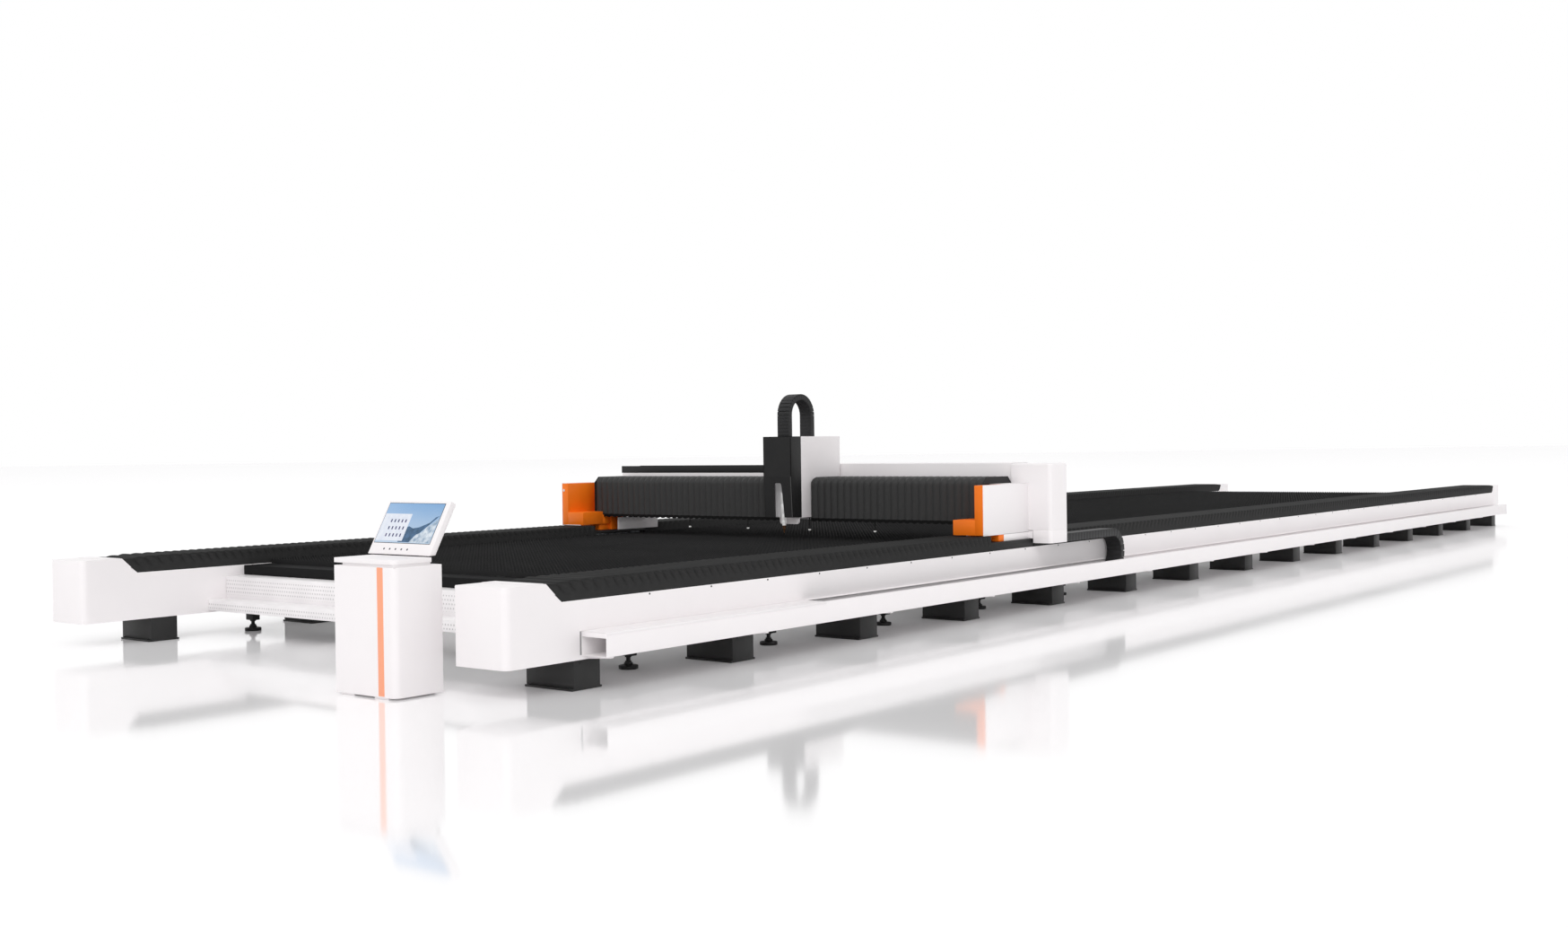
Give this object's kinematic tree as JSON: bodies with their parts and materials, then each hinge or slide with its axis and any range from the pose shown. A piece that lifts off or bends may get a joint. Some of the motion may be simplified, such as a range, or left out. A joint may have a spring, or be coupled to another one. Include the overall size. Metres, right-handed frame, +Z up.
{
  "type": "fiber laser cutting machine",
  "caption": "Large gantry fiber laser cutting machine with a slatted bed, two bellows-covered rails, a moving beam with a cutting head and a tilting operator console",
  "frame": {"origin": "centre of the overall box on the floor", "axes": "X across the bed to the side with the drag chain and the console, Y to the back along the rails, Z up"},
  "size_m": [6.378, 26.72, 2.3399],
  "materials": {
    "white_paint": "satin white powder coat",
    "dark_paint": "dark grey structural paint",
    "black_sheet": "black powder coat",
    "orange_paint": "orange enamel",
    "machined_steel": "ground and oiled steel",
    "black_bellows": "coated folding fabric",
    "chain_plastic": "moulded black nylon",
    "slat_steel": "cut steel strip",
    "screen_glass": "dark glass over a display",
    "brushed_plate": "machined aluminium",
    "nozzle_copper": "turned copper alloy",
    "key_plastic": "moulded keys"
  },
  "bodies": {
    "base": {"bed_slats": "slat_steel", "bellows_flanges": "black_sheet", "chain_trough": "white_paint", "console_cabinet": "white_paint", "console_lid": "white_paint", "console_stripe": "orange_paint", "end_covers": "white_paint", "levelling_jacks": "dark_paint", "monitor_hinge": "black_sheet", "rail_bed_left": "white_paint", "rail_bed_right": "white_paint", "rail_bellows_front": "black_bellows", "rail_bellows_rear": "black_bellows", "rail_legs": "dark_paint", "table_end_beams": "dark_paint", "table_end_panels": "white_paint", "table_members": "dark_paint", "trough_brackets": "white_paint", "y_chain_lower": "chain_plastic", "y_guide_rails": "machined_steel", "y_racks": "machined_steel"},
    "gantry": {"gantry_beam": "dark_paint", "beam_lights": "white_paint", "gantry_end_brackets": "orange_paint", "gantry_bases": "black_sheet", "y_slide_blocks": "machined_steel", "y_drives": "black_sheet", "side_covers": "white_paint", "rear_box": "white_paint", "rear_cover": "white_paint", "cable_tray": "black_sheet", "x_guide_rails": "machined_steel", "x_rack": "machined_steel", "x_bellows_left": "black_bellows", "x_bellows_right": "black_bellows", "bellows_end_plates": "black_sheet", "y_chain_upper": "chain_plastic"},
    "y_pinions": {"y_pinions": "machined_steel"},
    "y_chain_loop": {"y_chain_bend": "chain_plastic"},
    "carriage": {"carriage_box": "white_paint", "x_slide_blocks": "machined_steel", "x_drive": "black_sheet", "head_cover": "black_sheet", "z_motor": "black_sheet", "z_chain_rear": "chain_plastic"},
    "x_pinion": {"x_pinion": "machined_steel"},
    "z_slide": {"z_slide_plate": "brushed_plate", "cutting_head": "brushed_plate", "nozzle": "nozzle_copper", "z_chain_front": "chain_plastic"},
    "z_screw": {"z_screw": "machined_steel"},
    "z_chain_loop": {"z_chain_bend": "chain_plastic"},
    "monitor": {"monitor_case": "white_paint", "monitor_screen": "screen_glass"},
    "push_key_1": {"push_key_1": "key_plastic"},
    "push_key_2": {"push_key_2": "key_plastic"},
    "push_key_3": {"push_key_3": "key_plastic"},
    "push_key_4": {"push_key_4": "key_plastic"},
    "push_key_5": {"push_key_5": "key_plastic"}
  },
  "joints": [
    {"name": "gantry", "type": "slide", "parent": "base", "child": "gantry", "axis": [0, 1, 0], "range_m": [-5.4, 16.5], "deforming": ["rail_bellows_front", "rail_bellows_rear"]},
    {"name": "y_pinions", "type": "hinge", "parent": "gantry", "child": "y_pinions", "pos_m": [-0.126, -5.711, 0.7223], "axis": [1, 0, 0], "continuous": true},
    {"name": "y_chain_loop", "type": "slide", "parent": "base", "child": "y_chain_loop", "axis": [0, 1, 0], "range_m": [-5.4, 16.5], "deforming": ["y_chain_lower"]},
    {"name": "carriage", "type": "slide", "parent": "gantry", "child": "carriage", "axis": [1, 0, 0], "range_m": [-2.6, 1.9], "deforming": ["x_bellows_left", "x_bellows_right"]},
    {"name": "x_pinion", "type": "hinge", "parent": "carriage", "child": "x_pinion", "pos_m": [0.2455, -6.071, 1.1047], "axis": [0, 1, 0], "continuous": true},
    {"name": "height", "type": "slide", "parent": "carriage", "child": "z_slide", "axis": [0, 0, 1], "range_m": [-0.07, 0.1], "deforming": ["z_chain_front"]},
    {"name": "z_screw", "type": "hinge", "parent": "carriage", "child": "z_screw", "pos_m": [0.109, -6.401, 1.4], "axis": [0, 0, 1], "continuous": true},
    {"name": "z_chain_loop", "type": "slide", "parent": "carriage", "child": "z_chain_loop", "axis": [0, 0, 1], "range_m": [-0.04, 0.055], "deforming": ["z_chain_rear"]},
    {"name": "monitor_tilt", "type": "hinge", "parent": "base", "child": "monitor", "pos_m": [1.774, -12.93099, 1.02], "axis": [1, 0, 0], "range_deg": [-25, 0]},
    {"name": "push_key_1", "type": "slide", "parent": "monitor", "child": "push_key_1", "axis": [0, 0.8746, -0.4848], "range_m": [0, 0.0015], "stiffness_N_per_m": 400, "springref_m": -0.0008},
    {"name": "push_key_2", "type": "slide", "parent": "monitor", "child": "push_key_2", "axis": [0, 0.8746, -0.4848], "range_m": [0, 0.0015], "stiffness_N_per_m": 400, "springref_m": -0.0008},
    {"name": "push_key_3", "type": "slide", "parent": "monitor", "child": "push_key_3", "axis": [0, 0.8746, -0.4848], "range_m": [0, 0.0015], "stiffness_N_per_m": 400, "springref_m": -0.0008},
    {"name": "push_key_4", "type": "slide", "parent": "monitor", "child": "push_key_4", "axis": [0, 0.8746, -0.4848], "range_m": [0, 0.0015], "stiffness_N_per_m": 400, "springref_m": -0.0008},
    {"name": "push_key_5", "type": "slide", "parent": "monitor", "child": "push_key_5", "axis": [0, 0.8746, -0.4848], "range_m": [0, 0.0015], "stiffness_N_per_m": 400, "springref_m": -0.0008}
  ],
  "couplings": [
    {"joint": "y_pinions", "follows": "gantry", "rad_per_m": -31.25},
    {"joint": "y_chain_loop", "follows": "gantry", "ratio": 1},
    {"joint": "x_pinion", "follows": "carriage", "rad_per_m": -40},
    {"joint": "z_screw", "follows": "height", "rad_per_m": 628.32},
    {"joint": "z_chain_loop", "follows": "height", "ratio": 0.5}
  ]
}
